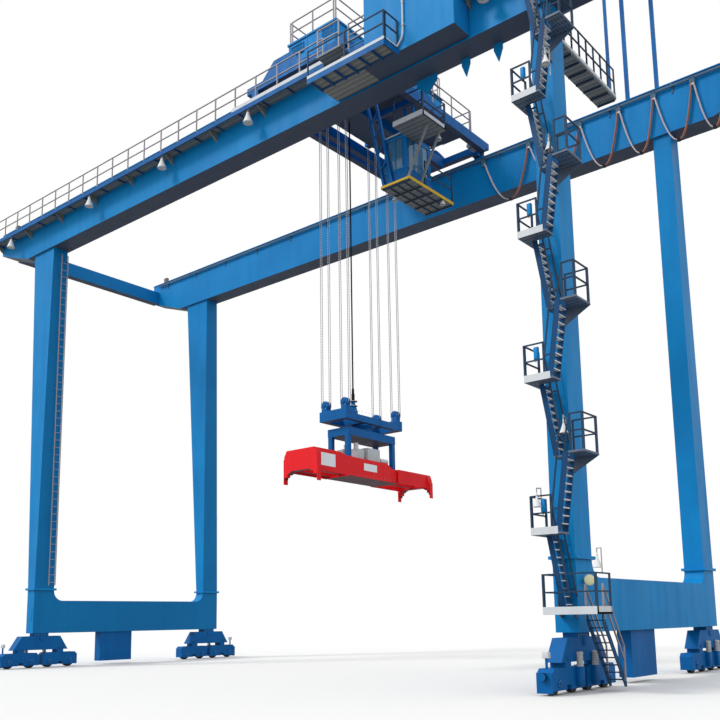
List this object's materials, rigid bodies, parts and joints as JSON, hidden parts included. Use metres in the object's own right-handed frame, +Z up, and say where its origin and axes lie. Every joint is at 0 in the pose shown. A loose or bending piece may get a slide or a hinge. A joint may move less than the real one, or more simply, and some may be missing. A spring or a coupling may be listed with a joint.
{
  "type": "rail-mounted gantry crane",
  "caption": "Blue rail-mounted gantry crane: twin box girders on tapered legs, travelling trolley with machinery house and cab, hoist ropes and a red telescopic container spreader.",
  "frame": {"origin": "centre of the crane in plan, at the height of the ground rails' tops", "axes": "+X along the girders towards the stair legs, +Y along the ground rails away from the walkway girder, +Z up"},
  "size_m": [39.5, 15.44, 31.2],
  "materials": {
    "structure_blue": "gloss",
    "deep_blue": "gloss",
    "railing_paint": "satin",
    "deck_steel": "matte",
    "galvanised": "satin",
    "house_blue": "satin",
    "rail_steel": "worn",
    "wheel_steel": "worn",
    "rope_steel": "satin",
    "cable_black": "matte",
    "lamp_white": "gloss",
    "window_glass": "clear",
    "spreader_red": "gloss"
  },
  "bodies": {
    "gantry": {"boarding_platform": "deck_steel", "boarding_railing": "railing_paint", "electrical_house": "house_blue", "far_girder": "structure_blue", "far_left_bogie": "structure_blue", "far_left_leg": "structure_blue", "far_right_bogie": "structure_blue", "far_right_leg": "structure_blue", "festoon_cable": "cable_black", "festoon_carriages": "galvanised", "festoon_track": "galvanised", "floodlights": "lamp_white", "gantry_wheels": "wheel_steel", "ground_stair": "railing_paint", "ground_stair_railing": "railing_paint", "house_landing": "deck_steel", "landing_railing": "railing_paint", "left_end_tie": "structure_blue", "left_sill_beam": "structure_blue", "leg_ladder": "railing_paint", "maintenance_frame": "deep_blue", "near_girder": "structure_blue", "near_left_bogie": "structure_blue", "near_left_leg": "structure_blue", "near_right_bogie": "structure_blue", "near_right_leg": "structure_blue", "rail_clamps": "structure_blue", "right_end_tie": "structure_blue", "right_sill_beam": "structure_blue", "stair_landings": "deck_steel", "stair_railings": "railing_paint", "stair_stringers": "structure_blue", "stair_treads": "galvanised", "trolley_rails": "rail_steel", "walkway": "deck_steel", "walkway_railing": "railing_paint"},
    "trolley": {"trolley_frame": "deep_blue", "trolley_wheels": "wheel_steel", "machinery_house": "house_blue", "roof_railing": "railing_paint", "cab_shell": "deep_blue", "cab_glass": "window_glass", "cab_deck": "deck_steel", "cab_hanger": "deep_blue", "cab_railing": "railing_paint", "trolley_railing": "railing_paint", "hoist_ropes": "rope_steel"},
    "hoist": {"headblock": "deep_blue", "headblock_sheaves": "deep_blue"},
    "slew": {"rotary_frame": "deep_blue", "spreader_frame": "spreader_red"},
    "near_end": {"near_spreader_end": "spreader_red"},
    "far_end": {"far_spreader_end": "spreader_red"}
  },
  "joints": [
    {"name": "trolley_travel", "type": "slide", "parent": "gantry", "child": "trolley", "axis": [1, 0, 0], "range_m": [-15.1, 5]},
    {"name": "hoist_lift", "type": "slide", "parent": "trolley", "child": "hoist", "axis": [0, 0, 1], "range_m": [-5.2, 8.4], "deforming": ["hoist_ropes"]},
    {"name": "spreader_slew", "type": "hinge", "parent": "hoist", "child": "slew", "pos_m": [2.15, 0, 10.5], "axis": [0, 0, 1], "range_deg": [-5, 5]},
    {"name": "near_end_telescope", "type": "slide", "parent": "slew", "child": "near_end", "axis": [0, 1, 0], "range_m": [0, 2]},
    {"name": "far_end_telescope", "type": "slide", "parent": "slew", "child": "far_end", "axis": [0, 1, 0], "range_m": [-2, 0]}
  ],
  "couplings": [
    {"joint": "far_end_telescope", "follows": "near_end_telescope", "ratio": -1}
  ]
}
